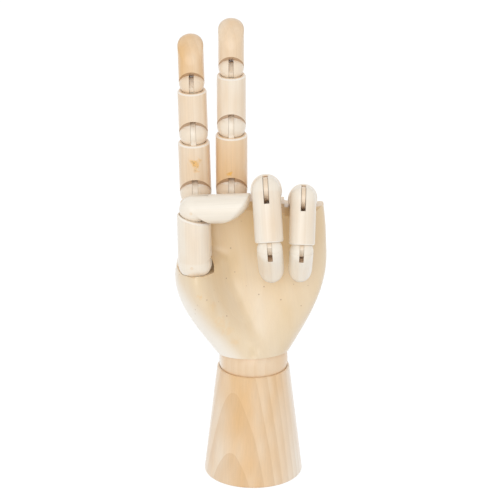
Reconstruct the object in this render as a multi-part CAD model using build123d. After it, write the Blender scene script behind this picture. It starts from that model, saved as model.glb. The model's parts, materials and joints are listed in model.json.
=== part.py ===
"""Jointed wooden hand on a turned base, posed with two fingers raised and two curled.

Millimetres. The origin is the centre of the base's bottom face, +Z is up, the palm faces -Y.
Every phalanx is drawn about its own joint: ball centre at the origin, +Z along the finger,
-Y the palm side and X the hinge. The same frames then place it in the photographed pose.
"""

import os
from math import cos, pi, radians, sin

from build123d import *

# Base and wrist
BASE_R = 32.4
BASE_TOP_R = 23.5
BASE_H = 74.7
BASE_ROUND = 1.4
BASE_CHAMFER = 0.5
WRIST_R = 22.4
BASE_GAP = 4.6
PALM_GAP = 6.0
WRIST_Z = BASE_H + BASE_GAP
WRIST_BORE_R = 7.0
CUP_CLEAR = 0.3
EYE_R = 3.5
EYE_WIRE_R = 1.0
EYE_OFFSET = 2.25
EYE_WELD = 0.4
SHANK_R = 1.5
SHANK_CLEAR = 0.06
SHANK_GRIP = 17.0
SHANK_END_Z = 6.0
COUNTERBORE_R = 10.0
COUNTERBORE_H = 16.0
PLUG_H = 3.0
SEAT_CLEAR = 0.05
WASHER_R = 8.0
WASHER_H = 2.6
WASHER_T = 1.0
WASHER_CLEAR = 0.3
NUT_R = 4.2
NUT_H = 3.2

# Palm: how it leans in the photographed pose, and its outline; a taper or a spread is given by
# the heights between which it happens
TILT_BACK = 6.0
LEAN_LEFT = 2.0
PALM_BOTTOM_R = 23.7
PALM_LEFT = 48.8
PALM_RIGHT = 49.8
PALM_LEFT_Z = 58.6
PALM_RIGHT_Z = 70.0
PALM_LEFT_DROP = 5.4
PALM_LEFT_TAPER = (58.0, 84.0)
PALM_RIGHT_DROP = 1.4
PALM_RIGHT_TAPER = (84.0, 112.0)
PALM_TOP = 118.0
PALM_BACK = 14.5
PALM_FRONT = 12.5
PALM_SPREAD = (2.0, 58.0)
PALM_SQUARENESS = 1.3
PALM_BANDS = 16
SECTION_POINTS = 48

# Joints, as shares of the ball's radius
RIM_DROP = 0.56
RIM_SLANT = 8.0
RIM_CHAMFER = 0.09
SLOT_WIDTH = 0.38
SLOT_END = 1.08
SLOT_SLOPE = -0.06
TIP_SLOT_END = 0.53
TIP_SLOT_SLOPE = 0.41
TONGUE_R = 0.85
TIP_TONGUE_R = 0.42
THUMB_TONGUE_R = 0.6
TONGUE_STEM = 1.05
TONGUE_CLEAR = 0.25
BALL_STEP = 0.1
PIN_R = 1.0
PIN_RUN = 0.05
PIN_INSET = 0.25
TIP_LENGTH = 2.75
TIP_ROUND = 1.9
TIP_BACK = 0.85

# Fingers: knuckle in the palm's frame, sideways splay, radii, lengths, bends in the pose, and
# the palm-side bevel of each ball (rise at its centre and slope, in radii)
FINGERS = {
    "index": dict(at=(-33.3, 1.0, 112.3), splay=0.3, r=(10.2, 9.3, 8.2),
                  length=(39.0, 33.0, 30.4), bend=(2.5, 0.0, 0.0), bevel=(0.04, 1.0)),
    "middle": dict(at=(-10.1, 1.0, 113.0), splay=1.9, r=(10.2, 9.3, 8.2),
                   length=(42.4, 38.1, 30.4), bend=(2.5, 0.0, 0.0), bevel=(0.04, 1.0)),
    "ring": dict(at=(12.5, 1.0, 110.9), splay=-1.8, r=(9.9, 9.0, 8.2),
                 length=(39.5, 38.2, 30.0), bend=(75.0, 85.0, 68.0), bevel=(0.14, 1.1)),
    "little": dict(at=(34.9, 1.0, 104.8), splay=4.0, r=(9.1, 8.3, 7.6),
                   length=(33.8, 34.0, 28.0), bend=(75.0, 85.0, 68.0), bevel=(0.14, 1.1)),
}
KNUCKLE_SLOPE = {"index": 3.0, "middle": -1.5, "ring": -6.5, "little": -12.0}
KNUCKLE_BEVEL = 38.0
EDGE_RISE = 11.0
CUT_LAP = 0.2

# Thumb: its joint in the palm's frame, its heading and the same data as a finger
THUMB = dict(at=(-34.7, -24.5, 71.6), turn=80.0, r=(10.8, 9.35), length=(36.0, 37.2),
             bend=(0.0, 86.0), bevel=(0.14, 1.1))
THUMB_BACK = 1.0
THUMB_LEAN = 1.0
THUMB_ROOM = 1.2
THUMB_CORNER = (-0.84, 1.32)
THUMB_SLANT = 14.5
MOUND_HEIGHT = 26.0
MOUND_REACH = 23.0
MOUND_RISE = (4.0, 58.0)
MOUND_FADE = 12.0
MOUND_EDGE = 0.6

AXIS_Z = (Align.CENTER, Align.CENTER, Align.MIN)


def half_space(origin, normal, size, above=True):
    """A block whose one face lies in the plane through origin, on the normal's side of it."""
    align = Align.MIN if above else Align.MAX
    block = Box(size, size, size, align=(Align.CENTER, Align.CENTER, align))
    return Plane(origin=origin, z_dir=normal) * block


def domed_dowel(radius, length):
    """A turned dowel with a half ball at its lower end."""
    with BuildSketch(Plane.XZ) as profile:
        with BuildLine():
            CenterArc((0, 0), radius, -90, 90)
            Line((radius, 0), (radius, length))
            Line((radius, length), (0, length))
            Line((0, length), (0, -radius))
        make_face()
    return revolve(profile.sketch, Axis.Z)


def tip_bullet(radius, length):
    """The turned envelope of a fingertip: straight along the back, rounded up from the pad."""
    reach = TIP_ROUND * radius
    height = TIP_LENGTH * radius
    start = length - height
    with BuildSketch(Plane.XZ) as profile:
        with BuildLine():
            Line((0, -2 * radius), (reach, -2 * radius))
            Line((reach, -2 * radius), (reach, start))
            EllipticalCenterArc((0, start), reach, height, start_angle=0, arc_size=90)
            Line((0, length), (0, -2 * radius))
        make_face()
    return Pos(0, TIP_BACK * radius, 0) * revolve(profile.sketch, Axis.Z)


def tongue_size(ball_r, share):
    """Half width, thickness and stem end (below the ball centre) of the tongue in a ball."""
    half = share * ball_r
    thick = SLOT_WIDTH * ball_r - 2 * TONGUE_CLEAR
    foot = (1 + TONGUE_STEM) * ball_r
    return half, thick, foot


def tongue(ball_r, share):
    """A flat wooden tongue, its round eye at the joint centre and its stem below."""
    half, thick, foot = tongue_size(ball_r, share)
    eye = Rot(0, 90, 0) * Cylinder(half, thick)
    stem = Box(thick, 2 * half, foot, align=(Align.CENTER, Align.CENTER, Align.MAX))
    hole = Rot(0, 90, 0) * Cylinder(PIN_R + PIN_RUN, thick + 2)
    return eye + stem - hole


def hinge_pin(ball_r):
    """The wooden pin across the two cheeks of a ball."""
    return Rot(0, 90, 0) * Cylinder(PIN_R, 2 * (ball_r - PIN_INSET))


def socket(ball_r, share):
    """What a joint takes out of its parent: a round cup and the tongue's mortise below it."""
    half, thick, foot = tongue_size(ball_r, share)
    mortise = Box(thick, 2 * half, foot, align=(Align.CENTER, Align.CENTER, Align.MAX))
    return Sphere(ball_r + CUP_CLEAR) + mortise


def slotted_ball(body, radius, bevel, slot_end, slot_slope):
    """The body's lower end made a joint: bevelled on the palm side, rounded, slotted and bored."""
    rise, slope = bevel
    body -= half_space((0, 0, rise * radius), (0, slope, 1), 8 * radius, above=False)
    body += Sphere(radius - BALL_STEP)
    below = half_space((0, 0, slot_end * radius), (0, slot_slope, 1), 8 * radius, above=False)
    body -= below & Box(SLOT_WIDTH * radius, 4 * radius, 6 * radius)
    return body - Rot(0, 90, 0) * Cylinder(PIN_R, 3 * radius)


def phalanx(radius, length, next_r, next_share, bevel, slant):
    """A finger segment from its slotted ball to the slanting rim and cup that hold the next."""
    body = domed_dowel(radius, length)
    rim_at = (0, 0, length - RIM_DROP * next_r)
    rim_normal = (0, -sin(radians(slant)), cos(radians(slant)))
    body -= half_space(rim_at, rim_normal, 6 * radius)
    rim = body.faces().sort_by(Axis.Z)[-1]
    body = chamfer(rim.edges(), RIM_CHAMFER * radius)
    body -= Pos(0, 0, length) * socket(next_r, next_share)
    return slotted_ball(body, radius, bevel, SLOT_END, SLOT_SLOPE)


def fingertip(radius, length, bevel, slot_end, slot_slope):
    """The last segment of a digit, from its slotted ball to the rounded tip."""
    body = domed_dowel(radius, length + radius) & tip_bullet(radius, length)
    return slotted_ball(body, radius, bevel, slot_end, slot_slope)


def smooth(low, high, value):
    """A smooth step from 0 at low to 1 at high."""
    share = min(max((value - low) / (high - low), 0.0), 1.0)
    return share * share * (3 - 2 * share)


def palm_half_width(z, side):
    """The palm's outline from the front: round from the wrist, then nearly straight."""
    if side < 0:
        climb = min((z - PALM_GAP) / (PALM_LEFT_Z - PALM_GAP), 1.0)
        width = PALM_BOTTOM_R + (PALM_LEFT - PALM_BOTTOM_R) * sin(climb * pi / 2)
        return width - PALM_LEFT_DROP * smooth(*PALM_LEFT_TAPER, z)
    climb = min((z - PALM_GAP) / (PALM_RIGHT_Z - PALM_GAP), 1.0)
    width = PALM_BOTTOM_R + (PALM_RIGHT - PALM_BOTTOM_R) * sin(climb * pi / 2)
    return width - PALM_RIGHT_DROP * smooth(*PALM_RIGHT_TAPER, z)


def mound(x, z):
    """How far the thumb's mound stands out of the palm's front at a place."""
    rim = THUMB["at"][2] - RIM_DROP * THUMB["r"][0]
    crest = THUMB["at"][0] * sin(min(z / rim, 1.0) * pi / 2)
    away = min(abs(x - crest) / MOUND_REACH, 1.0)
    height = MOUND_HEIGHT * smooth(*MOUND_RISE, z) * (1 - smooth(rim, rim + MOUND_FADE, z))
    return height * (1 - away * away) ** 2


def palm_section(z):
    """One closed outline across the palm, round at the wrist and a flattened oval above."""
    spread = smooth(*PALM_SPREAD, z)
    front = PALM_BOTTOM_R + (PALM_FRONT - PALM_BOTTOM_R) * spread
    back = PALM_BOTTOM_R + (PALM_BACK - PALM_BOTTOM_R) * spread
    power = 2.0 + PALM_SQUARENESS * spread
    points = []
    for step in range(SECTION_POINTS):
        angle = 2 * pi * step / SECTION_POINTS
        c = cos(angle)
        s = sin(angle)
        shape = (abs(c) ** power + abs(s) ** power) ** (-1 / power)
        x = palm_half_width(z, c) * c * shape
        y = (back if s > 0 else front) * s * shape
        if s < 0:
            y -= mound(x, z) * smooth(0.0, MOUND_EDGE, abs(s * shape))
        points.append(Vector(x, y, z))
    shares = [step / SECTION_POINTS for step in range(SECTION_POINTS + 1)]
    return Face(Wire([Edge.make_spline(points, periodic=True, parameters=shares)]))


def thumb_frame():
    """The thumb's joint in the palm's frame, standing nearly upright in the pose."""
    upright = Rot(TILT_BACK - THUMB_BACK, 0, 0) * Rot(0, LEAN_LEFT - THUMB_LEAN, 0)
    return Pos(*THUMB["at"]) * upright * Rot(0, 0, THUMB["turn"])


def finger_frame(name):
    """A finger's knuckle in the palm's frame, with the finger straight."""
    finger = FINGERS[name]
    return Pos(*finger["at"]) * Rot(0, finger["splay"], 0)


def knuckle_cuts(name, low, high, rise):
    """What shapes the palm's top from low to high at one finger: a flat rim and a front bevel."""
    finger = FINGERS[name]
    x, y, z = finger["at"]
    reach = 2 * PALM_TOP
    slope = radians(rise)
    fall = radians(KNUCKLE_BEVEL)
    slab = Pos((low + high) / 2, 0, z) * Box(high - low, PALM_TOP, 0.7 * PALM_TOP)
    rim_z = z - RIM_DROP * finger["r"][0]
    top = half_space((x, y, rim_z), (-sin(slope), 0, cos(slope)), reach)
    front = half_space((x, y, z), (-sin(slope), -sin(fall), cos(fall)), reach)
    return [slab & top, slab & front]


def palm():
    """The carved palm: a lofted block with four knuckle cups, a thumb cup and a wrist cup."""
    band = (PALM_TOP - PALM_GAP) / PALM_BANDS
    body = loft([palm_section(PALM_GAP + step * band) for step in range(PALM_BANDS + 1)])
    middles = [finger["at"][0] for finger in FINGERS.values()]
    edges = [-PALM_TOP] + [(a + b) / 2 for a, b in zip(middles, middles[1:])] + [middles[-1]]
    cuts = []
    for name, low, high in zip(FINGERS, edges, edges[1:]):
        cuts += knuckle_cuts(name, low - CUT_LAP, high + CUT_LAP, KNUCKLE_SLOPE[name])
        cuts.append(finger_frame(name) * socket(FINGERS[name]["r"][0], TONGUE_R))
    cuts += knuckle_cuts("little", middles[-1], PALM_TOP, EDGE_RISE)
    ball_r = THUMB["r"][0]
    over_rim = thumb_frame() * Pos(0, 0, -RIM_DROP * ball_r)
    ahead = Box(PALM_TOP, PALM_TOP, 2 * PALM_TOP, align=(Align.MAX, Align.MAX, Align.CENTER))
    rim_block = over_rim * Box(2 * PALM_TOP, 2 * PALM_TOP, PALM_TOP, align=AXIS_Z)
    cuts.append(rim_block & Pos(THUMB["at"][0], -PALM_FRONT, PALM_TOP / 2) * ahead)
    cuts.append(over_rim * Cylinder(ball_r + THUMB_ROOM, PALM_TOP, align=AXIS_Z))
    cuts.append(thumb_frame() * socket(ball_r, THUMB_TONGUE_R))
    cuts.append(Sphere(WRIST_R + CUP_CLEAR))
    cuts.append(Cylinder(SHANK_R, WRIST_R + SHANK_GRIP, align=AXIS_Z))
    for cut in cuts:
        body -= cut
    return body


def base():
    """The turned base, with the wrist cup above and the nut's counterbore below."""
    with BuildSketch(Plane.XZ) as profile:
        with BuildLine():
            Polyline((0, 0), (BASE_R, 0), (BASE_TOP_R, BASE_H), (0, BASE_H), close=True)
        make_face()
        outer = profile.vertices().sort_by(Axis.X)[-1]
        fillet(outer, BASE_ROUND)
    body = revolve(profile.sketch, Axis.Z)
    body = chamfer(body.faces().sort_by(Axis.Z)[-1].edges(), BASE_CHAMFER)
    body -= Pos(0, 0, WRIST_Z) * Sphere(WRIST_R + CUP_CLEAR)
    body -= Cylinder(COUNTERBORE_R, COUNTERBORE_H, align=AXIS_Z)
    body -= Cylinder(SHANK_R + SHANK_CLEAR, BASE_H, align=AXIS_Z)
    return body


def wrist_ball():
    """The loose wooden ball between base and palm, bored for the two linked eyes."""
    return Sphere(WRIST_R) - Cylinder(WRIST_BORE_R, 3 * WRIST_R)


def screw_eye(reach):
    """A wire eye about the ball's centre, its shank reaching up from it."""
    ring = Pos(0, 0, EYE_OFFSET) * Rot(90, 0, 0) * Torus(EYE_R, EYE_WIRE_R)
    foot = EYE_OFFSET + EYE_R - EYE_WELD
    return ring + Pos(0, 0, foot) * Cylinder(SHANK_R, reach - foot, align=AXIS_Z)


def spring_washer():
    """A coned steel washer that keeps the wrist under tension."""
    hole_r = SHANK_R + WASHER_CLEAR
    with BuildSketch(Plane.XZ) as profile:
        with BuildLine():
            Polyline((hole_r, -WASHER_H), (WASHER_R, -WASHER_T), (WASHER_R, 0),
                     (hole_r, WASHER_T - WASHER_H), close=True)
        make_face()
    return revolve(profile.sketch, Axis.Z)


def nut():
    """The hexagon nut that holds the shank under the base."""
    return extrude(RegularPolygon(NUT_R, 6), NUT_H) - Cylinder(SHANK_R, 3 * NUT_H)


PALM_AT = Pos(0, 0, WRIST_Z) * Rot(0, -LEAN_LEFT, 0) * Rot(-TILT_BACK, 0, 0)
JOINT_NAMES = ("knuckle", "mid_joint", "end_joint")
SEGMENTS = ("proximal", "middle", "distal")


def digit_frames(start, lengths, bends):
    """The frame of each joint of a digit in the pose, before and after its own bend."""
    frames = []
    at = start
    for length, bend in zip(lengths, bends):
        bent = at * Rot(bend, 0, 0)
        frames.append((at, bent))
        at = bent * Pos(0, 0, length)
    return frames


def digits():
    """Every digit: name, the frame of its first joint, radii, lengths, bends, segment names."""
    for name, finger in FINGERS.items():
        start = PALM_AT * finger_frame(name)
        yield name, start, finger["r"], finger["length"], finger["bend"], SEGMENTS
    start = PALM_AT * thumb_frame()
    yield "thumb", start, THUMB["r"], THUMB["length"], THUMB["bend"], ("proximal", "distal")


def finger_segments(name):
    """The three segments of a finger and the width share of each joint's tongue."""
    finger = FINGERS[name]
    first, second, last = finger["r"]
    long, short, end = finger["length"]
    bevel = finger["bevel"]
    segments = [
        phalanx(first, long, second, TONGUE_R, bevel, RIM_SLANT),
        phalanx(second, short, last, TIP_TONGUE_R, bevel, RIM_SLANT),
        fingertip(last, end, bevel, TIP_SLOT_END, TIP_SLOT_SLOPE),
    ]
    return segments, (TONGUE_R, TONGUE_R, TIP_TONGUE_R)


def thumb_segments():
    """The two segments of the thumb and the width share of each joint's tongue."""
    first, last = THUMB["r"]
    long, end = THUMB["length"]
    segments = [
        phalanx(first, long, last, TONGUE_R, THUMB_CORNER, THUMB_SLANT),
        fingertip(last, end, THUMB["bevel"], SLOT_END, SLOT_SLOPE),
    ]
    return segments, (THUMB_TONGUE_R, TONGUE_R)


def assembly():
    """Every named piece in its place."""
    washer_z = COUNTERBORE_H - SEAT_CLEAR
    nut_z = washer_z - WASHER_H - NUT_H
    turned = Pos(0, 0, WRIST_Z) * Rot(0, -LEAN_LEFT, 0)
    parts = {
        "base": base(),
        "base_plug": Cylinder(COUNTERBORE_R, PLUG_H, align=AXIS_Z),
        "wrist_ball": turned * wrist_ball(),
        "palm": PALM_AT * palm(),
        "wrist_upper_eye": PALM_AT * screw_eye(WRIST_R + SHANK_GRIP),
        "wrist_lower_eye": Pos(0, 0, WRIST_Z) * Rot(180, 0, 90) * screw_eye(WRIST_Z - SHANK_END_Z),
        "wrist_spring_washer": Pos(0, 0, washer_z) * spring_washer(),
        "wrist_nut": Pos(0, 0, nut_z) * nut(),
    }
    for name, start, radii, lengths, bends, names in digits():
        segments, shares = thumb_segments() if name == "thumb" else finger_segments(name)
        joints = JOINT_NAMES if len(names) == 3 else ("base_joint", "end_joint")
        for step, (straight, bent) in enumerate(digit_frames(start, lengths, bends)):
            parts[f"{name}_{names[step]}"] = bent * segments[step]
            parts[f"{name}_{joints[step]}_tongue"] = straight * tongue(radii[step], shares[step])
            parts[f"{name}_{joints[step]}_pin"] = bent * hinge_pin(radii[step])
    return parts


def main():
    os.makedirs("parts", exist_ok=True)
    for name, part in assembly().items():
        export_step(part, f"parts/{name}.step")


if __name__ == "__main__":
    main()
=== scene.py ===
"""Finishes, light and camera for a jointed wooden hand on a turned base.

Metres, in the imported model's own frame: the origin is the centre of the base's bottom face,
+Z is up and the palm faces -Y. Every piece of wood is dressed with solid grain that runs along
its own length, so a turned side shows streaks and arches and a cut end shows rings.
"""

import json
import math
from typing import NamedTuple

import bpy
import numpy as np
from bpy.props import FloatProperty, FloatVectorProperty, PointerProperty
from bpy.types import Operator, Panel, PropertyGroup
from mathutils import Matrix, Vector


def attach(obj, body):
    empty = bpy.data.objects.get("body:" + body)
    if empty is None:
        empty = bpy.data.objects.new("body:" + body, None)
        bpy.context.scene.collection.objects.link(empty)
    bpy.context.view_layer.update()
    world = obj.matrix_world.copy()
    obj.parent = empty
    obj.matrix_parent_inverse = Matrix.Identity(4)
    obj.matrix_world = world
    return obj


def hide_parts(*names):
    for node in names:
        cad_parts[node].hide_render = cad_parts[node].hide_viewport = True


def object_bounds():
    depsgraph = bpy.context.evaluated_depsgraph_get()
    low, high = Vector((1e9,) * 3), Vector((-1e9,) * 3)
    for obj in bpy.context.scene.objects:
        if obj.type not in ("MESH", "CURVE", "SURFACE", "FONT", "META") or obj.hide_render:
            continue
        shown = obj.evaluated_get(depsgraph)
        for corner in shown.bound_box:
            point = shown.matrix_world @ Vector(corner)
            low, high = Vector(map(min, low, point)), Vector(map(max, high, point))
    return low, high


bl_info = {
    "name": "Jointed wooden hand",
    "version": (1, 0, 0),
    "blender": (4, 5, 0),
    "location": "View3D > Sidebar > Hand",
    "description": "Dresses a jointed wooden hand with solid wood grain and lights it",
    "category": "Object",
}

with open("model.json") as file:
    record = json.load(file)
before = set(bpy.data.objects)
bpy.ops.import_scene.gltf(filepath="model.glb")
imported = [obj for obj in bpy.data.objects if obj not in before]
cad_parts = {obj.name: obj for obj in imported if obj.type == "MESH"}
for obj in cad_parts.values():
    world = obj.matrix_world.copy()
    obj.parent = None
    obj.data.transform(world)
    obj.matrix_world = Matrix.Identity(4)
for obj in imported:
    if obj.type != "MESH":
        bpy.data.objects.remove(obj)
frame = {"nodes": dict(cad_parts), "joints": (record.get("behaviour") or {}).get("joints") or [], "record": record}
CAD_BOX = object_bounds()
NODES = frame["nodes"]
BODY_OF = {node: body
           for body, nodes in frame["record"]["behaviour"]["bodies"].items()
           for node in nodes}
MM = 0.001
UP = (0.0, 0.0, 1.0)
# How far a hinge pin stops short of the ball's surface, and its room in the tongue.
PIN_INSET = 0.25 * MM
PIN_RUN = 0.05 * MM
DIGITS = {
    "index": ("proximal", "middle", "distal"),
    "middle": ("proximal", "middle", "distal"),
    "ring": ("proximal", "middle", "distal"),
    "little": ("proximal", "middle", "distal"),
    "thumb": ("proximal", "distal"),
}


def linear(code):
    """The linear RGBA colour of an sRGB hex code."""
    srgb = np.array([int(code[i:i + 2], 16) for i in (1, 3, 5)]) / 255
    light = np.where(srgb <= 0.04045, srgb / 12.92, ((srgb + 0.055) / 1.055) ** 2.4)
    return (*light.tolist(), 1.0)


def colour(name, code, text):
    """A colour property whose default is an sRGB hex code."""
    return FloatVectorProperty(name=name, description=text, subtype="COLOR", size=4, min=0.0,
                               max=1.0, default=linear(code))


def length(name, mm, text):
    """A length property whose default is given in millimetres."""
    return FloatProperty(name=name, description=text, subtype="DISTANCE", unit="LENGTH",
                         min=0.0, default=mm * MM)


def share(name, value, text):
    """A property from 0 to 1."""
    return FloatProperty(name=name, description=text, subtype="FACTOR", min=0.0, max=1.0,
                         default=value)


class HandWood(PropertyGroup):
    """Colours and sizes of the lacquered wood."""

    cream: colour("Cream", "#F9F0E1", "Palest wood, on the thumb and the curled fingers")
    tan: colour("Tan", "#EABE84", "Warm wood of the base and the straight fingers, and of cut ends")
    straw: colour("Straw", "#E4BF7E", "Greyer wood of the palm")
    line: colour("Ring line", "#D2A468", "Late wood at the edge of a growth ring")
    fleck: colour("Fleck", "#8C5A2E", "Pin knots, and the specks in resin")
    # Resin stains, and the warm painted shade along the crease of the thumb's mound.
    resin_and_shade: colour("Resin", "#F0B43C", "Resin stains")
    # Painted light: the near-white laid on the sides of blocks, and the painted highlight on rims' edges.
    painted_edge_light: colour("Worn", "#FFF9EF", "Sapwood, and edges sanded through to bare wood")
    # Painted shade: the brown on sawn bevels and slot ends stands mostly for the shade there, and a little for
    # darker end grain.
    sawn_shade: colour("Sawn", "#9C6B35", "Sawn bevels and ends of slots, left rough and stained darker")
    ring: length("Ring spacing", 5.0, "Width of a growth ring")
    fibre: length("Fibre width", 1.1, "Width of a fibre streak")
    roughness: share("Roughness", 0.42, "Roughness of the satin lacquer")


class HandWire(PropertyGroup):
    """Colour and finish of the wrist's hidden steel."""

    zinc: colour("Zinc", "#B9BCBE", "Zinc plating on the wire, the washer and the nut")
    roughness: share("Roughness", 0.34, "Roughness of the plating")


class HandStage(PropertyGroup):
    """Floor and light."""

    floor: colour("Floor", "#F4F3F1", "Pale floor")
    fill: FloatProperty(name="Fill", description="Even light from all round", min=0.0,
                        default=0.77)
    key: FloatProperty(name="Key", description="Power of the large lamp in front",
                       subtype="POWER", unit="POWER", min=0.0, default=10.0)


def add(tree, kind, sockets, **settings):
    """One node with its settings; each socket gets a link or a value."""
    node = tree.nodes.new(kind)
    for name, value in settings.items():
        setattr(node, name, value)
    for name, value in sockets.items():
        if isinstance(value, bpy.types.NodeSocket):
            tree.links.new(value, node.inputs[name])
        else:
            node.inputs[name].default_value = value
    return node


def blank(name):
    """A new material's tree, with only its output."""
    material = bpy.data.materials.new(name)
    material.use_nodes = True
    material.node_tree.nodes.clear()
    output = material.node_tree.nodes.new("ShaderNodeOutputMaterial")
    return material, material.node_tree, output


def dress(node, material):
    """Gives one CAD node its material."""
    slots = NODES[node].data.materials
    slots.clear()
    slots.append(material)


def grain_turn(along, across):
    """Turn from a piece's grain axes to the model's: z runs along the grain, x points across."""
    z = Vector(along).normalized()
    x = Vector(across)
    x = (x - z * x.dot(z)).normalized()
    return Matrix((x, z.cross(x), z)).transposed()


def joint_at(name):
    """A joint's centre and axis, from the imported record."""
    found = next(joint for joint in frame["joints"] if joint["name"] == name)
    return Vector(found["pos_m"]), Vector(found["axis"])


def joint_names(digit):
    """A digit's joints, from the palm outwards."""
    if digit == "thumb":
        return ["thumb_base_joint", "thumb_end_joint"]
    return [f"{digit}_{name}" for name in ("knuckle", "mid_joint", "end_joint")]


def node_points(node):
    """A CAD node's vertices as an array."""
    mesh = NODES[node].data
    points = np.empty(len(mesh.vertices) * 3)
    mesh.vertices.foreach_get("co", points)
    return points.reshape(-1, 3)


def ball_radius(joint):
    """The radius of a joint's ball: its pin stops just short of the surface at both ends."""
    centre, hinge = joint_at(joint)
    along_pin = (node_points(f"{joint}_pin") - np.array(centre)) @ np.array(hinge.normalized())
    return along_pin.max() + PIN_INSET


def segment_axes(digit, step):
    """A finger segment's joint centre, its hinge and the direction in which it points."""
    joints = joint_names(digit)
    centre, hinge = joint_at(joints[step])
    if step + 1 < len(joints):
        ahead = joint_at(joints[step + 1])[0]
    else:
        ahead = Vector(node_points(f"{digit}_{DIGITS[digit][step]}").mean(axis=0))
    along = ahead - centre
    along = along - hinge * along.dot(hinge) / hinge.length_squared
    return centre, hinge, along.normalized()


# Growth rings: how far slow noise bends them, and the size of its patches along the grain's axes.
RING_BEND = 2.0
BEND_PATCH = np.array((26.0, 26.0, 90.0))
# The wave texture's rings repeat every 2 pi / 20 of its coordinate at scale 1.
WAVE_LENGTH = 2 * math.pi / 20
# Late wood is darkest at a ring's firm edge and fades out over this share of its width.
LATE_FADE = 0.85
# Warm areas: the size of their patches, the noise's usual range, and the run of a slope.
WARM_PATCH = np.array((20.0, 20.0, 55.0))
WARM_LOW, WARM_HIGH = 0.25, 0.75
SLOPE_RUN = 100.0
# Fibres: their width as a share of their length, the noise's usual range, their mean lightness,
# how far they make the lacquer duller or brighter, and how deep they are.
FIBRE_SLIMNESS = 0.03
FIBRE_LOW, FIBRE_HIGH = 0.3, 0.7
FIBRE_LIGHTNESS = 0.99
DULLING = 0.1
GROOVE = 0.06 * MM
# A piece's seed shifts its noise by these steps, so that its neighbours differ from it.
BEND_STEP = np.array((7.3, 3.1, 11.7))
WARM_STEP = np.array((5.9, 2.3, 1.0))
FIBRE_STEP = np.array((1.0, 1.7, 0.3))
# Cut ends, rims and sawn faces are known by the cosine of their angle to the grain or to the saw's
# way: from where they start to where they are full, and the share of the other colour there. The
# rims' colour is a painted highlight, and the sawn faces' is mostly painted shade. A rim's painted
# highlight also ends again, where the face turns nearer to the grain.
END_FROM, END_FULL, END_SHARE = 0.8, 1.0, 0.3
RIM_FROM, RIM_FULL, RIM_SHARE = 0.5, 0.6, 0.7
RIM_LAST, RIM_PAST = 0.8, 0.9
SAWN_SHADE_FROM, SAWN_SHADE_FULL, SAWN_SHADE_SHARE = 0.992, 0.998, 0.7
# The paler ball, and the painted light on the slot's walls within it: how far beyond its surface it fades out, and
# its share of cream.
BALL_FULL, BALL_PAST, BALL_SHARE = 0.1, 0.4, 0.5
# Pin knots: how far apart they are, and a spot's full and outer radius as shares of that.
KNOT_SPACING = 7.0
KNOT_FULL, KNOT_PAST = 0.05, 0.09
# Resin stains: how fine their ragged noise and the dark specks are, in grains to a millimetre. In
# reaches of the stain: how much the noise adds to the distance, and where the stain is full and
# past. Last, where the specks' noise starts to show and is full.
RAGGED_GRAINS, SPECK_GRAINS = 0.45, 0.9
RAGGED_BY = 2.4
STAIN_FULL, STAIN_PAST = 1.2, 2.1
SPECK_FROM, SPECK_FULL = 0.52, 0.64
# A fingertip's sanded crease: its radius, and its start and full reach in radii of the ball.
CREASE_ROUND = 4.0 * MM
CREASE_FROM, CREASE_FULL = 1.0, 1.4
# A mix's sockets go by number, because colours and vectors share their names: the factor, then
# the first, the second and the mixed colour, and the same for vectors.
FACTOR, FIRST, SECOND, MIXED = 0, 6, 7, 2
FIRST_WAY, SECOND_WAY, MIXED_WAY = 4, 5, 1


class SideLight(NamedTuple):
    """Painted light on one side of a block, which turns it paler: it starts and is full at two planes across a
    way.
    """

    way: tuple
    start: float
    full: float
    strength: float


class StainAndShade(NamedTuple):
    """A ragged patch: a resin stain, and on the palm also the painted shade along a crease. Its place and reach,
    its share of resin colour and of dark specks.
    """

    place: tuple
    reach: float
    resin_and_shade: float
    specks: float = 0.0


class Cuts(NamedTuple):
    """A finger segment's shaping: its ball's radius, if it is a tip, and the ways of its sawn faces, which get
    painted shade.
    """

    ball: float
    at_tip: bool
    sawn_shade_ways: list


def growth_rings(tree, grain, pith, seed, lines):
    """Saw-toothed waves about a pith line that lies beside the piece, bent by slow noise.

    It gives the bent place in the grain, and the share of late wood there.
    """
    drift = add(tree, "ShaderNodeMapping", {
        "Vector": grain, "Location": seed * BEND_STEP, "Scale": 1 / BEND_PATCH})
    bend = add(tree, "ShaderNodeTexNoise", {
        "Vector": drift.outputs[0], "Scale": 1.0, "Detail": 2.0})
    bent = add(tree, "ShaderNodeVectorMath", {
        0: bend.outputs["Color"], 1: (RING_BEND, RING_BEND, 0.0), 2: grain},
        operation="MULTIPLY_ADD").outputs[0]
    about = add(tree, "ShaderNodeVectorMath", {0: bent, 1: pith}, operation="SUBTRACT")
    rings = add(tree, "ShaderNodeTexWave", {
        "Vector": about.outputs[0],
        "Scale": WAVE_LENGTH * MM / bpy.context.scene.hand_wood.ring},
        wave_type="RINGS", rings_direction="Z", wave_profile="SAW")
    late = add(tree, "ShaderNodeMapRange", {
        "Value": rings.outputs["Fac"], "From Min": LATE_FADE, "From Max": 0.0, "To Max": lines},
        interpolation_type="SMOOTHSTEP")
    return bent, late.outputs[0]


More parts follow.
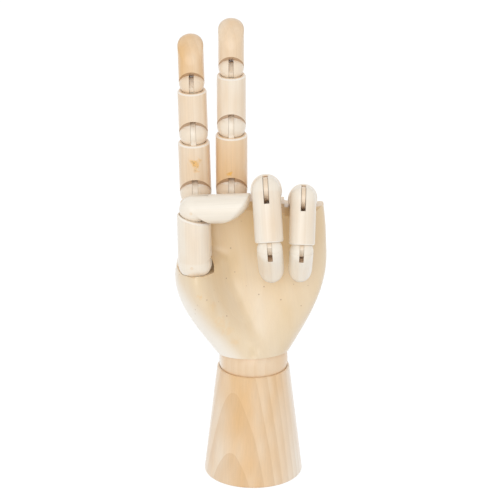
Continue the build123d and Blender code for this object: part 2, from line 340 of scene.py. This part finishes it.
def warm_areas(tree, grain, seed, tan, blotch, tan_slope):
    """The share of tan: broad soft patches, and a slope across the whole piece."""
    wide = add(tree, "ShaderNodeMapping", {
        "Vector": grain, "Location": seed * WARM_STEP, "Scale": 1 / WARM_PATCH})
    warm = add(tree, "ShaderNodeTexNoise", {
        "Vector": wide.outputs[0], "Scale": 1.0, "Detail": 2.0})
    patches = add(tree, "ShaderNodeMapRange", {
        "Value": warm.outputs["Fac"], "From Min": WARM_LOW, "From Max": WARM_HIGH,
        "To Min": tan - blotch, "To Max": tan + blotch}, clamp=False)
    slope = add(tree, "ShaderNodeVectorMath", {
        0: grain, 1: tuple(rate / SLOPE_RUN for rate in tan_slope)}, operation="DOT_PRODUCT")
    return add(tree, "ShaderNodeMath", {0: slope.outputs["Value"], 1: patches.outputs[0]},
               operation="ADD", use_clamp=True).outputs[0]


def fine_fibres(tree, grain, seed):
    """Fine noise, drawn out along the grain."""
    width = bpy.context.scene.hand_wood.fibre
    strand = add(tree, "ShaderNodeMapping", {
        "Vector": grain, "Location": seed * FIBRE_STEP,
        "Scale": (MM / width, MM / width, FIBRE_SLIMNESS * MM / width)})
    return add(tree, "ShaderNodeTexNoise", {
        "Vector": strand.outputs[0], "Scale": 1.0, "Detail": 4.0, "Roughness": 0.62}
        ).outputs["Fac"]


def painted_side_light(tree, result, bent, side_light):
    """Painted light on the sides of a block, which turns them paler towards their edges."""
    for side in side_light:
        depth = add(tree, "ShaderNodeVectorMath", {0: bent, 1: side.way}, operation="DOT_PRODUCT")
        light_share = add(tree, "ShaderNodeMapRange", {
            "Value": depth.outputs["Value"], "From Min": side.start, "From Max": side.full,
            "To Max": side.strength}, interpolation_type="SMOOTHSTEP")
        result = add(tree, "ShaderNodeMix", {
            FACTOR: light_share.outputs[0], FIRST: result, SECOND: bpy.context.scene.hand_wood.painted_edge_light},
            data_type="RGBA").outputs[MIXED]
    return result


def dark_ends(tree, result, facing):
    """A cut end drinks more lacquer and dries darker."""
    endwise = add(tree, "ShaderNodeMath", {0: facing}, operation="ABSOLUTE")
    cut_end = add(tree, "ShaderNodeMapRange", {
        "Value": endwise.outputs[0], "From Min": END_FROM, "From Max": END_FULL,
        "To Max": END_SHARE})
    return add(tree, "ShaderNodeMix", {
        FACTOR: cut_end.outputs[0], FIRST: result, SECOND: bpy.context.scene.hand_wood.tan},
        data_type="RGBA").outputs[MIXED]


def painted_rim_highlight(tree, result, facing):
    """Painted highlight on the rim's edge, where its chamfer catches the light; it is known by the way it faces.
    """
    low = add(tree, "ShaderNodeMapRange", {
        "Value": facing, "From Min": RIM_FROM, "From Max": RIM_FULL, "To Max": RIM_SHARE})
    high = add(tree, "ShaderNodeMapRange", {
        "Value": facing, "From Min": RIM_PAST, "From Max": RIM_LAST})
    light_share = add(tree, "ShaderNodeMath", {0: low.outputs[0], 1: high.outputs[0]},
               operation="MULTIPLY")
    return add(tree, "ShaderNodeMix", {
        FACTOR: light_share.outputs[0], FIRST: result, SECOND: bpy.context.scene.hand_wood.painted_edge_light},
        data_type="RGBA").outputs[MIXED]


def paler_ball_and_slots(tree, result, grain, ball):
    """The joint's ball is mixed towards cream; the slot's walls inside it get the same, as painted light that
    lifts their shade.
    """
    apart = add(tree, "ShaderNodeVectorMath", {0: grain}, operation="LENGTH")
    paler_share = add(tree, "ShaderNodeMapRange", {
        "Value": apart.outputs["Value"], "From Min": ball + BALL_PAST,
        "From Max": ball + BALL_FULL, "To Max": BALL_SHARE})
    return add(tree, "ShaderNodeMix", {
        FACTOR: paler_share.outputs[0], FIRST: result, SECOND: bpy.context.scene.hand_wood.cream},
        data_type="RGBA").outputs[MIXED]


def painted_sawn_shade(tree, result, normal, turn, sawn_shade_ways):
    """Painted shade on the sawn faces, the bevel and the slot's end, which are known by the way they face; a
    little of their darkness is darker end grain.
    """
    for way in sawn_shade_ways:
        faces = add(tree, "ShaderNodeVectorMath", {
            0: normal, 1: turn @ Vector(way).normalized()}, operation="DOT_PRODUCT")
        sawn_shade = add(tree, "ShaderNodeMapRange", {
            "Value": faces.outputs["Value"], "From Min": SAWN_SHADE_FROM, "From Max": SAWN_SHADE_FULL,
            "To Max": SAWN_SHADE_SHARE})
        result = add(tree, "ShaderNodeMix", {
            FACTOR: sawn_shade.outputs[0], FIRST: result, SECOND: bpy.context.scene.hand_wood.sawn_shade},
            data_type="RGBA").outputs[MIXED]
    return result


def pin_knots(tree, result, grain, flecks):
    """One small dark spot in those of the noise's cells whose middle is near the surface."""
    cells = add(tree, "ShaderNodeTexVoronoi", {"Vector": grain, "Scale": 1 / KNOT_SPACING})
    spot = add(tree, "ShaderNodeMapRange", {
        "Value": cells.outputs["Distance"], "From Min": KNOT_PAST, "From Max": KNOT_FULL,
        "To Max": flecks}, interpolation_type="SMOOTHSTEP")
    return add(tree, "ShaderNodeMix", {
        FACTOR: spot.outputs[0], FIRST: result, SECOND: bpy.context.scene.hand_wood.fleck},
        data_type="RGBA").outputs[MIXED]


def resin_stains_and_shade(tree, result, grain, stains_and_shade):
    """Ragged yellow spots, some with darker specks in their middle. On the palm a row of them is painted shade
    along the crease of the thumb's mound.
    """
    wood = bpy.context.scene.hand_wood
    for patch in stains_and_shade:
        ragged = add(tree, "ShaderNodeTexNoise", {
            "Vector": grain, "Scale": RAGGED_GRAINS, "Detail": 3.0})
        apart = add(tree, "ShaderNodeVectorMath", {0: grain, 1: patch.place},
                    operation="DISTANCE")
        uneven = add(tree, "ShaderNodeMath", {
            0: ragged.outputs["Fac"], 1: RAGGED_BY * patch.reach, 2: apart.outputs["Value"]},
            operation="MULTIPLY_ADD")
        resin_and_shade = add(tree, "ShaderNodeMapRange", {
            "Value": uneven.outputs[0], "From Min": STAIN_PAST * patch.reach,
            "From Max": STAIN_FULL * patch.reach, "To Max": patch.resin_and_shade},
            interpolation_type="SMOOTHSTEP")
        result = add(tree, "ShaderNodeMix", {
            FACTOR: resin_and_shade.outputs[0], FIRST: result, SECOND: wood.resin_and_shade},
            data_type="RGBA").outputs[MIXED]
        if not patch.specks:
            continue
        grit = add(tree, "ShaderNodeTexNoise", {
            "Vector": grain, "Scale": SPECK_GRAINS, "Detail": 1.0})
        dark = add(tree, "ShaderNodeMapRange", {
            "Value": grit.outputs["Fac"], "From Min": SPECK_FROM, "From Max": SPECK_FULL,
            "To Max": patch.specks})
        core = add(tree, "ShaderNodeMath", {0: dark.outputs[0], 1: resin_and_shade.outputs[0]},
                   operation="MULTIPLY")
        result = add(tree, "ShaderNodeMix", {
            FACTOR: core.outputs[0], FIRST: result, SECOND: wood.fleck},
            data_type="RGBA").outputs[MIXED]
    return result


def sanded_crease(tree, grain, ball):
    """The way a fingertip's surface faces, with the crease where its pad starts sanded over."""
    rounded = add(tree, "ShaderNodeBevel", {"Radius": CREASE_ROUND}, samples=8)
    up = add(tree, "ShaderNodeSeparateXYZ", {"Vector": grain})
    above = add(tree, "ShaderNodeMapRange", {
        "Value": up.outputs["Z"], "From Min": CREASE_FROM * ball, "From Max": CREASE_FULL * ball})
    plain = add(tree, "ShaderNodeNewGeometry", {})
    return add(tree, "ShaderNodeMix", {
        FACTOR: above.outputs[0], FIRST_WAY: plain.outputs["Normal"],
        SECOND_WAY: rounded.outputs[0]}, data_type="VECTOR").outputs[MIXED_WAY]


def lacquered_wood(name, centre, turn, tan, lines, pith, seed, body=None,
                   tan_slope=(0.0, 0.0, 0.0), blotch=0.3, streaks=0.04, side_light=(), flecks=0.0,
                   stains_and_shade=(), cuts=None):
    """Pale plantation wood, turned or carved, sanded and sealed with a clear satin lacquer.

    It gives the eye soft rings about 5 mm wide with one firm edge, fine streaks along the grain,
    a darker cut end and a broad dull highlight. The pattern is solid: distance from a pith line
    gives the rings, and noise stretched along the grain gives the streaks. Real fibres are a
    tenth of a millimetre wide; they are drawn ten times as coarse, so that they show.

    centre and turn set the grain's own axes: z runs along the grain, and further lengths are
    millimetres in them. tan is the share of the warm colour, which is body if that is given, and
    tan_slope is its rise per 100 mm along each axis. lines is the strength of the rings, blotch
    of the warm areas, streaks of the fibres and flecks of the pin knots. cuts are a finger
    segment's.
    """
    wood = bpy.context.scene.hand_wood
    material, tree, output = blank(name)
    place = add(tree, "ShaderNodeTexCoord", {})
    grain = add(tree, "ShaderNodeMapping", {
        "Vector": place.outputs["Object"], "Location": centre, "Rotation": turn.to_euler(),
        "Scale": (MM, MM, MM)}, vector_type="TEXTURE").outputs[0]
    facing = add(tree, "ShaderNodeVectorMath", {
        0: place.outputs["Normal"], 1: turn @ Vector(UP)}, operation="DOT_PRODUCT").outputs["Value"]

    bent, late = growth_rings(tree, grain, pith, seed, lines)
    tanned = warm_areas(tree, grain, seed, tan, blotch, tan_slope)
    fibre = fine_fibres(tree, grain, seed)
    ground = add(tree, "ShaderNodeMix", {
        FACTOR: tanned, FIRST: wood.cream, SECOND: body or wood.tan}, data_type="RGBA")
    ringed = add(tree, "ShaderNodeMix", {
        FACTOR: late, FIRST: ground.outputs[MIXED], SECOND: wood.line}, data_type="RGBA")
    streak = add(tree, "ShaderNodeMapRange", {
        "Value": fibre, "From Min": FIBRE_LOW, "From Max": FIBRE_HIGH,
        "To Min": FIBRE_LIGHTNESS - streaks, "To Max": FIBRE_LIGHTNESS + streaks})
    result = add(tree, "ShaderNodeVectorMath", {
        0: ringed.outputs[MIXED], 1: streak.outputs[0]}, operation="MULTIPLY").outputs[0]

    # Painted light on the sides of a block.
    result = painted_side_light(tree, result, bent, side_light)
    result = dark_ends(tree, result, facing)
    # Rims get a painted highlight, the ball and its slots a paler colour with painted light in the slots, and sawn
    # faces painted shade.
    if cuts:
        if not cuts.at_tip:
            result = painted_rim_highlight(tree, result, facing)
        result = paler_ball_and_slots(tree, result, grain, cuts.ball)
        result = painted_sawn_shade(tree, result, place.outputs["Normal"], turn, cuts.sawn_shade_ways)
    if flecks:
        result = pin_knots(tree, result, grain, flecks)
    # Resin stains, and on the palm the painted shade along the crease of its thumb's mound.
    result = resin_stains_and_shade(tree, result, grain, stains_and_shade)

    dull = add(tree, "ShaderNodeMapRange", {
        "Value": fibre, "To Min": wood.roughness - DULLING, "To Max": wood.roughness + DULLING})
    grooves = add(tree, "ShaderNodeBump", {
        "Height": fibre, "Strength": 0.5, "Distance": GROOVE})
    if cuts and cuts.at_tip:
        tree.links.new(sanded_crease(tree, grain, cuts.ball), grooves.inputs["Normal"])
    surface = add(tree, "ShaderNodeBsdfPrincipled", {
        "Base Color": result, "Roughness": dull.outputs[0], "IOR": 1.5, "Coat Weight": 1.0,
        "Coat Roughness": 0.3, "Sheen Weight": 0.12, "Normal": grooves.outputs[0]})
    tree.links.new(surface.outputs[0], output.inputs["Surface"])
    return material


# The plating's mottling: its grain, and how far it makes the surface duller or brighter.
MOTTLE = 0.8 * MM
MOTTLE_DULLING = 0.12


def plated_steel(name):
    """Bright zinc plating on drawn wire: grey, slightly mottled, with a broad highlight."""
    wire = bpy.context.scene.hand_wire
    material, tree, output = blank(name)
    place = add(tree, "ShaderNodeTexCoord", {})
    mottle = add(tree, "ShaderNodeTexNoise", {
        "Vector": place.outputs["Object"], "Scale": 1 / MOTTLE, "Detail": 3.0})
    dull = add(tree, "ShaderNodeMapRange", {
        "Value": mottle.outputs["Fac"], "To Min": wire.roughness - MOTTLE_DULLING,
        "To Max": wire.roughness + MOTTLE_DULLING})
    surface = add(tree, "ShaderNodeBsdfPrincipled", {
        "Base Color": wire.zinc, "Metallic": 1.0, "Roughness": dull.outputs[0]})
    tree.links.new(surface.outputs[0], output.inputs["Surface"])
    return material


# The grain's x axis in the base points away from the log's middle, which lies behind it.
BASE_ACROSS = (-0.515, -0.857, 0.0)


class HAND_OT_base(Operator):
    """Dress the turned base and the plug under it"""

    bl_idname = "hand.base"
    bl_label = "Turned base"

    def execute(self, context):
        upright = grain_turn(UP, BASE_ACROSS)
        # Painted light on one side of the base.
        lit_side = SideLight((-0.515, 0.857, 0.0), start=12.0, full=26.0, strength=0.28)
        wood = lacquered_wood("turned_base_wood", (0.0, 0.0, 0.0), upright, tan=0.09, lines=0.3,
                              pith=(-189.3, 0.0, 0.0), seed=3.0, tan_slope=(1.8, 0.85, 0.6),
                              side_light=[lit_side])
        dress("base", wood)
        plug = lacquered_wood("base_plug_wood", (0.0, 0.0, 0.0), upright, tan=0.4, lines=0.3,
                              pith=(-40.0, 0.0, 0.0), seed=5.0)
        dress("base_plug", plug)
        return {"FINISHED"}


class HAND_OT_wrist(Operator):
    """Dress the wrist's ball and its hidden wire eyes, washer and nut"""

    bl_idname = "hand.wrist"
    bl_label = "Wrist"

    def execute(self, context):
        centre = joint_at("wrist_turn")[0]
        upright = grain_turn(UP, (1.0, 0.0, 0.0))
        # Painted light on one side of the wrist's ball.
        lit_side = SideLight((-1.0, 0.0, 0.0), start=17.5, full=22.0, strength=0.8)
        ball = lacquered_wood("wrist_ball_wood", centre, upright, tan=0.72, lines=0.12,
                              pith=(-60.0, 30.0, 0.0), seed=8.0, streaks=0.025,
                              side_light=[lit_side])
        dress("wrist_ball", ball)
        steel = plated_steel("zinc_plated_steel")
        for node in ("wrist_upper_eye", "wrist_lower_eye", "wrist_spring_washer", "wrist_nut"):
            dress(node, steel)
        return {"FINISHED"}


# The grain's x axis in the palm points forwards and to the little finger's side.
PALM_ACROSS = (0.6, -0.8, 0.0)
# Painted shade along the crease of the thumb's mound, as a row of ragged resin-coloured patches, and one resin
# spot on top of it.
PALM_SHADE_AND_STAINS = [
    StainAndShade((14.2, -34.8, 46.3), reach=4.5, resin_and_shade=0.14),
    StainAndShade((14.2, -30.3, 34.5), reach=5.5, resin_and_shade=0.16),
    StainAndShade((14.3, -26.7, 27.5), reach=5.5, resin_and_shade=0.16),
    StainAndShade((14.5, -22.5, 19.0), reach=4.5, resin_and_shade=0.14),
    StainAndShade((13.6, -44.1, 54.6), reach=2.2, resin_and_shade=0.3),
]
# The palm's painted side light: low down on the thumb's side, and all along the little finger's.
PALM_SIDE_LIGHT = [
    SideLight((-0.51, -0.68, -0.53), start=-4.0, full=9.0, strength=0.75),
    SideLight((0.6, 0.8, 0.0), start=25.0, full=47.0, strength=0.3),
]


class HAND_OT_palm(Operator):
    """Dress the carved palm"""

    bl_idname = "hand.palm"
    bl_label = "Carved palm"

    def execute(self, context):
        wrist = joint_at("wrist_nod")[0]
        knuckle = joint_at("middle_knuckle")[0]
        turn = grain_turn(knuckle - wrist, PALM_ACROSS)
        wood = lacquered_wood("carved_palm_wood", wrist, turn, tan=0.25, lines=0.05,
                              pith=(-120.0, 20.0, 0.0), seed=13.0, flecks=0.5,
                              tan_slope=(0.8, 0.0, 0.5), body=context.scene.hand_wood.straw,
                              blotch=0.18, streaks=0.02, stains_and_shade=PALM_SHADE_AND_STAINS,
                              side_light=PALM_SIDE_LIGHT)
        dress("palm", wood)
        return {"FINISHED"}


# How far each segment's wood leans from cream to tan, and how strongly its rings show.
SEGMENT_TONES = {
    "index_proximal": (0.52, 0.12),
    "index_middle": (0.56, 0.10),
    "index_distal": (0.85, 0.14),
    "middle_proximal": (0.74, 0.10),
    "middle_middle": (0.28, 0.08),
    "middle_distal": (0.6, 0.10),
    "ring_proximal": (0.30, 0.10),
    "ring_middle": (0.18, 0.08),
    "ring_distal": (0.14, 0.06),
    "little_proximal": (0.25, 0.10),
    "little_middle": (0.04, 0.08),
    "little_distal": (0.0, 0.06),
    "thumb_proximal": (0.18, 0.08),
    "thumb_distal": (0.02, 0.05),
}
SEGMENT_STAINS = {
    "index_proximal": [StainAndShade((0.6, -10.0, 21.0), reach=5.4, resin_and_shade=0.75, specks=0.7)],
    "middle_proximal": [StainAndShade((-1.0, -10.0, 13.2), reach=2.4, resin_and_shade=0.9, specks=0.6)],
    "thumb_proximal": [StainAndShade((0.0, -10.5, 8.0), reach=2.4, resin_and_shade=0.3)],
}
# The first segment's seed; the next ones count on. The pith lies this far off across the grain,
# and further by the seed, so that the segments' rings differ.
SEGMENT_SEED = 21.0
SEGMENT_PITH = (30.0, 25.0)
# The ways that the slots' ends face, in the grain's axes; these ends get painted shade.
SLOT_WAY = (0.0, 0.06, -1.0)
TIP_SLOT_WAY = (0.0, -0.41, -1.0)
# The slope of the sawn bevel on each digit's balls, palm side against length; the bevel gets painted shade.
BEVELS = {"index": 1.0, "middle": 1.0, "ring": 1.1, "little": 1.1, "thumb": 1.1}


class HAND_OT_fingers(Operator):
    """Dress the finger and thumb segments, each in its own piece of wood"""

    bl_idname = "hand.fingers"
    bl_label = "Fingers and thumb"

    def execute(self, context):
        seed = SEGMENT_SEED
        for digit, segments in DIGITS.items():
            for step, segment in enumerate(segments):
                node = f"{digit}_{segment}"
                at_tip = segment == "distal"
                centre, hinge, along = segment_axes(digit, step)
                tan, lines = SEGMENT_TONES[node]
                # Slot ends and bevels get painted shade.
                sawn_shade_ways = [TIP_SLOT_WAY if at_tip and digit != "thumb" else SLOT_WAY]
                if node != "thumb_proximal":
                    sawn_shade_ways.append((0.0, -BEVELS[digit], -1.0))
                ball = ball_radius(joint_names(digit)[step]) / MM
                wood = lacquered_wood(f"{node}_wood", centre, grain_turn(along, hinge), tan, lines,
                                      pith=(SEGMENT_PITH[0] + seed, SEGMENT_PITH[1], 0.0),
                                      seed=seed, stains_and_shade=SEGMENT_STAINS.get(node, ()),
                                      cuts=Cuts(ball, at_tip, sawn_shade_ways))
                dress(node, wood)
                seed += 1.0
        return {"FINISHED"}


# The tongues that face the eye fill their slots almost to the ball's surface. Shares of the
# ball's radius: the disc's reach, and at a fingertip the disc's and the eye's.
TONGUE_DISC = 0.96
TIP_TONGUE_DISC = 0.92
TIP_TONGUE_EYE = 0.46
# How far an end joint's slot leans to the back and to the palm as the joint moves.
SLOT_LEAN_BACK = math.radians(33)
SLOT_LEAN_PALM = math.radians(47)
# How much thicker than the solid it is on each side, where the solid has 0.25 mm of room, and
# how far its edges are broken.
TONGUE_FILL = 0.15 * MM
TONGUE_EDGE = 0.15 * MM
# How many sides its outline has, and the angle from which an edge is drawn sharp.
TONGUE_SIDES = 144
SHARP_FROM = math.radians(30)
# The foot is what lies beyond this share of the tongue's length from the hinge.
FOOT_FROM = 0.97
# The least sine or cosine that a length is divided by.
LEAST = 1e-3


def fills_its_slot(digit, joint):
    """True for the joints that face the eye: a straight finger's, and a curled finger's last."""
    if digit in ("index", "middle"):
        return True
    return digit in ("ring", "little") and joint.endswith("end_joint")


def tongue_outline(angle, ball, half, foot, at_tip):
    """Reach of a tongue at an angle from its length, towards the back.

    It is a disc, and a straight stem of the given half width and length runs down from it: the
    half width over the sine or the length over the cosine, whichever is less. At a fingertip the
    two outermost places of the slot's end, lines tangent to the eye, cut the disc.
    """
    disc = np.full(TONGUE_SIDES, TONGUE_DISC * ball)
    if at_tip:
        past = np.maximum(angle - SLOT_LEAN_BACK, 0) + np.minimum(angle + SLOT_LEAN_PALM, 0)
        roof = TIP_TONGUE_EYE * ball / np.maximum(np.cos(past), LEAST)
        roof = np.where(np.abs(past) < math.pi / 2, roof, ball)
        disc = np.minimum(roof, TIP_TONGUE_DISC * ball)
    stem = np.minimum(half / np.maximum(np.abs(np.sin(angle)), LEAST),
                      foot / np.maximum(-np.cos(angle), LEAST))
    return np.where(np.cos(angle) < 0, np.maximum(disc, stem), disc)


def tongue_turn(joint):
    """Turn from a tongue's own axes to the model's: z from its foot to its eye, x on the hinge."""
    centre, hinge = joint_at(joint)
    points = node_points(f"{joint}_tongue")
    apart = np.linalg.norm(points - np.array(centre), axis=1)
    foot = points[apart > FOOT_FROM * apart.max()].mean(axis=0)
    return grain_turn(centre - Vector(foot), hinge)


def flush_tongue(joint):
    """A flat tongue with a bored eye: its outline, carried across its thickness.

    Each of six rings has its own place x across the thickness and its own reach r at an angle a,
    and its points are (x, r sin a, r cos a). The rings run from the bore over one face, round the
    broken edges and over the other face back to the bore, where the last joins the first.
    """
    turn = tongue_turn(joint)
    centre = joint_at(joint)[0]
    local = (node_points(f"{joint}_tongue") - np.array(centre)) @ np.array(turn)
    pin = (node_points(f"{joint}_pin") - np.array(centre)) @ np.array(turn)
    ball = ball_radius(joint)
    bore = np.abs(pin[:, 1]).max() + PIN_RUN
    thick = local[:, 0].max() + TONGUE_FILL
    angle = np.linspace(-math.pi, math.pi, TONGUE_SIDES, endpoint=False)
    outline = tongue_outline(angle, ball, local[:, 1].max(), -local[:, 2].min(),
                             joint.endswith("end_joint"))
    eye = np.full(TONGUE_SIDES, bore)
    face = outline - TONGUE_EDGE
    reach = np.stack((eye, face, outline, outline, face, eye))
    flank = thick - TONGUE_EDGE
    across = np.array((-thick, -thick, -flank, flank, thick, thick))
    points = np.stack((np.broadcast_to(across[:, None], reach.shape), reach * np.sin(angle),
                       reach * np.cos(angle)), axis=-1)
    points = points.reshape(-1, 3) @ np.array(turn).T + np.array(centre)
    ring = np.arange(reach.size).reshape(reach.shape)
    faces = np.stack((ring, np.roll(ring, -1, 0), np.roll(ring, (-1, -1), (0, 1)),
                      np.roll(ring, -1, 1)), axis=-1).reshape(-1, 4)
    mesh = bpy.data.meshes.new(f"{joint}_flush_tongue")
    mesh.from_pydata(points.tolist(), [], faces.tolist())
    mesh.polygons.foreach_set("use_smooth", np.ones(len(faces), bool))
    mesh.set_sharp_from_angle(angle=SHARP_FROM)
    piece = bpy.data.objects.new(mesh.name, mesh)
    bpy.context.scene.collection.objects.link(piece)
    return piece


# The seeds of the joint nearest the palm; those further out count on.
TONGUE_SEED = 40.0
PIN_SEED = 60.0


class HAND_OT_hinges(Operator):
    """Dress the tongues and pins of the finger joints, and fill the slots that face the eye"""

    bl_idname = "hand.hinges"
    bl_label = "Tongues and pins"

    def execute(self, context):
        for digit in DIGITS:
            for step, joint in enumerate(joint_names(digit)):
                centre, hinge, along = segment_axes(digit, step)
                tongue = lacquered_wood(f"{joint}_tongue_wood", centre, grain_turn(along, hinge),
                                        tan=0.25, lines=0.1, pith=(20.0, 12.0, 0.0),
                                        seed=TONGUE_SEED + step)
                dress(f"{joint}_tongue", tongue)
                if fills_its_slot(digit, joint):
                    piece = flush_tongue(joint)
                    piece.data.materials.append(tongue)
                    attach(piece, BODY_OF[f"{joint}_tongue"])
                    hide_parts(f"{joint}_tongue")
                pin = lacquered_wood(f"{joint}_pin_wood", centre, grain_turn(hinge, along),
                                     tan=0.0, lines=0.1, pith=(9.0, 4.0, 0.0),
                                     seed=PIN_SEED + step)
                dress(f"{joint}_pin", pin)
        return {"FINISHED"}


def seen_directly(tree):
    """A socket that gives 1 to the camera's rays and to mirrored or refracted ones, else 0."""
    path = add(tree, "ShaderNodeLightPath", {})
    mirror = add(tree, "ShaderNodeMath", {
        0: path.outputs["Is Glossy Ray"], 1: path.outputs["Is Transmission Ray"]},
        operation="MAXIMUM")
    return add(tree, "ShaderNodeMath", {0: path.outputs["Is Camera Ray"], 1: mirror.outputs[0]},
               operation="MAXIMUM").outputs[0]


# The floor: half its width, how far it lies under the base, how much of what is seen of it is plain
# light and how bright that is. The rest of it keeps the shadow.
FLOOR_REACH = 4.0
FLOOR_DROP = 0.1 * MM
FLOOR_WHITE = 0.9
FLOOR_GLOW = 1.1
WHITE = (1.0, 1.0, 1.0, 1.0)
# The lamp's side and place, and the camera, whose lens and sensor are in millimetres.
KEY_SIZE = 1.5
KEY_PLACE = (-0.28, -1.88, 0.8)
CAMERA_LENS = 180.0
CAMERA_SENSOR = 36.0
CAMERA_SIGHT = 50.0
CAMERA_PLACE = (-2.2 * MM, -1513.5 * MM, 708.3 * MM)
CAMERA_PITCH = math.radians(69.9)


def lay_floor(scene):
    """A flat square under the base, matt and white to the eye."""
    corners = FLOOR_REACH * np.array([(-1, -1), (1, -1), (1, 1), (-1, 1)])
    points = np.column_stack((corners, np.full(len(corners), -FLOOR_DROP)))
    mesh = bpy.data.meshes.new("floor")
    mesh.from_pydata(points.tolist(), [], [(0, 1, 2, 3)])
    floor = bpy.data.objects.new("floor", mesh)
    scene.collection.objects.link(floor)
    material, tree, output = blank("pale_floor")
    amount = add(tree, "ShaderNodeMath", {0: seen_directly(tree), 1: FLOOR_WHITE},
                 operation="MULTIPLY")
    matt = add(tree, "ShaderNodeBsdfDiffuse", {"Color": scene.hand_stage.floor})
    white = add(tree, "ShaderNodeEmission", {"Strength": FLOOR_GLOW})
    both = add(tree, "ShaderNodeMixShader", {
        0: amount.outputs[0], 1: matt.outputs[0], 2: white.outputs[0]})
    tree.links.new(both.outputs[0], output.inputs["Surface"])
    mesh.materials.append(material)


def light_room(scene):
    """Even light from all round, white to the eye, and one large lamp in front."""
    world = bpy.data.worlds.new("white_room")
    world.use_nodes = True
    scene.world = world
    tree = world.node_tree
    tree.nodes.clear()
    level = add(tree, "ShaderNodeMapRange", {
        "Value": seen_directly(tree), "To Min": scene.hand_stage.fill, "To Max": 1.0})
    air = add(tree, "ShaderNodeBackground", {"Color": WHITE, "Strength": level.outputs[0]})
    add(tree, "ShaderNodeOutputWorld", {"Surface": air.outputs[0]})

    middle = (CAD_BOX[0] + CAD_BOX[1]) / 2
    key = bpy.data.lights.new("key", "AREA")
    key.size = KEY_SIZE
    key.energy = scene.hand_stage.key
    lamp = bpy.data.objects.new("key", key)
    lamp.location = KEY_PLACE
    lamp.rotation_euler = (middle - lamp.location).to_track_quat("-Z", "Y").to_euler()
    scene.collection.objects.link(lamp)


def set_camera(scene):
    """The camera, in front of the palm and a little above it."""
    camera = bpy.data.cameras.new("camera")
    camera.lens = CAMERA_LENS
    camera.sensor_width = CAMERA_SENSOR
    camera.clip_end = CAMERA_SIGHT
    eye = bpy.data.objects.new("camera", camera)
    eye.location = CAMERA_PLACE
    eye.rotation_euler = (CAMERA_PITCH, 0.0, 0.0)
    scene.collection.objects.link(eye)
    scene.camera = eye


class HAND_OT_stage(Operator):
    """Lay the floor, set the light and the camera"""

    bl_idname = "hand.stage"
    bl_label = "Stage"

    def execute(self, context):
        context.scene.view_settings.view_transform = "Standard"
        lay_floor(context.scene)
        light_room(context.scene)
        set_camera(context.scene)
        return {"FINISHED"}


class HAND_PT_panel(Panel):
    """The hand's finishes and stage"""

    bl_label = "Wooden hand"
    bl_idname = "HAND_PT_panel"
    bl_space_type = "VIEW_3D"
    bl_region_type = "UI"
    bl_category = "Hand"

    def draw(self, context):
        for group in SETTINGS:
            box = self.layout.box()
            settings = getattr(context.scene, group)
            for name in settings.__annotations__:
                box.prop(settings, name)
        for step in STEPS:
            self.layout.operator(step.bl_idname)


SETTINGS = {"hand_wood": HandWood, "hand_wire": HandWire, "hand_stage": HandStage}
STEPS = (HAND_OT_base, HAND_OT_wrist, HAND_OT_palm, HAND_OT_fingers, HAND_OT_hinges,
         HAND_OT_stage)


def register():
    for name, group in SETTINGS.items():
        bpy.utils.register_class(group)
        setattr(bpy.types.Scene, name, PointerProperty(type=group))
    for step in STEPS:
        bpy.utils.register_class(step)
    bpy.utils.register_class(HAND_PT_panel)


def unregister():
    bpy.utils.unregister_class(HAND_PT_panel)
    for step in reversed(STEPS):
        bpy.utils.unregister_class(step)
    for name, group in SETTINGS.items():
        delattr(bpy.types.Scene, name)
        bpy.utils.unregister_class(group)


def main():
    register()
    bpy.ops.hand.base()
    bpy.ops.hand.wrist()
    bpy.ops.hand.palm()
    bpy.ops.hand.fingers()
    bpy.ops.hand.hinges()
    bpy.ops.hand.stage()


if __name__ == "__main__":
    main()
